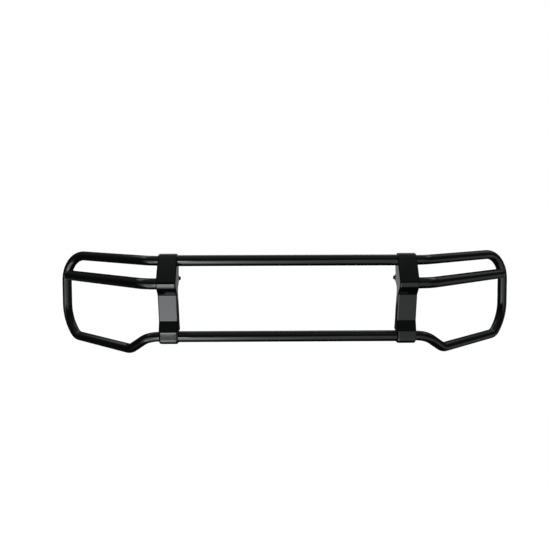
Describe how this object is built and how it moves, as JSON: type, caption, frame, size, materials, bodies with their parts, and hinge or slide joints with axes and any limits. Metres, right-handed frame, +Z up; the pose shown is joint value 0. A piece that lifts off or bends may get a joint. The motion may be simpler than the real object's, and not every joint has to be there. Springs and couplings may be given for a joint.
{
  "type": "vehicle front grille guard",
  "caption": "Tubular vehicle grille guard: cross tubes, swept headlight hoops with coped bars, and stanchions on bolted rear feet.",
  "frame": {"origin": "centre of the guard's bounding box", "axes": "+X to the right of someone standing in front of the guard and facing it, along the cross tubes; -Y is the front of the guard, +Y points to the vehicle; +Z is up"},
  "size_m": [1.7072, 0.3062, 0.356],
  "materials": {
    "tube_black": "gloss black powder coat",
    "cover_black": "gloss black powder coat",
    "bracket_black": "satin black powder coat",
    "coupler_steel": "bare turned steel, out of sight",
    "fastener_zinc": "black zinc plate"
  },
  "bodies": {
    "root": {"left_headlight_bar": "tube_black", "left_hoop_tube": "tube_black", "left_inner_rib": "bracket_black", "left_lower_coupler": "coupler_steel", "left_lower_foot_bolt": "fastener_zinc", "left_lower_foot_nut": "fastener_zinc", "left_lower_foot_washer": "fastener_zinc", "left_lower_mount_foot": "bracket_black", "left_outer_rib": "bracket_black", "left_stanchion_cover": "cover_black", "left_tie_plate": "bracket_black", "left_upper_coupler": "coupler_steel", "left_upper_foot_bolt": "fastener_zinc", "left_upper_foot_nut": "fastener_zinc", "left_upper_foot_washer": "fastener_zinc", "left_upper_mount_foot": "bracket_black", "lower_cross_tube": "tube_black", "right_headlight_bar": "tube_black", "right_hoop_tube": "tube_black", "right_inner_rib": "bracket_black", "right_lower_coupler": "coupler_steel", "right_lower_foot_bolt": "fastener_zinc", "right_lower_foot_nut": "fastener_zinc", "right_lower_foot_washer": "fastener_zinc", "right_lower_mount_foot": "bracket_black", "right_outer_rib": "bracket_black", "right_stanchion_cover": "cover_black", "right_tie_plate": "bracket_black", "right_upper_coupler": "coupler_steel", "right_upper_foot_bolt": "fastener_zinc", "right_upper_foot_nut": "fastener_zinc", "right_upper_foot_washer": "fastener_zinc", "right_upper_mount_foot": "bracket_black", "upper_cross_tube": "tube_black"}
  },
  "joints": []
}
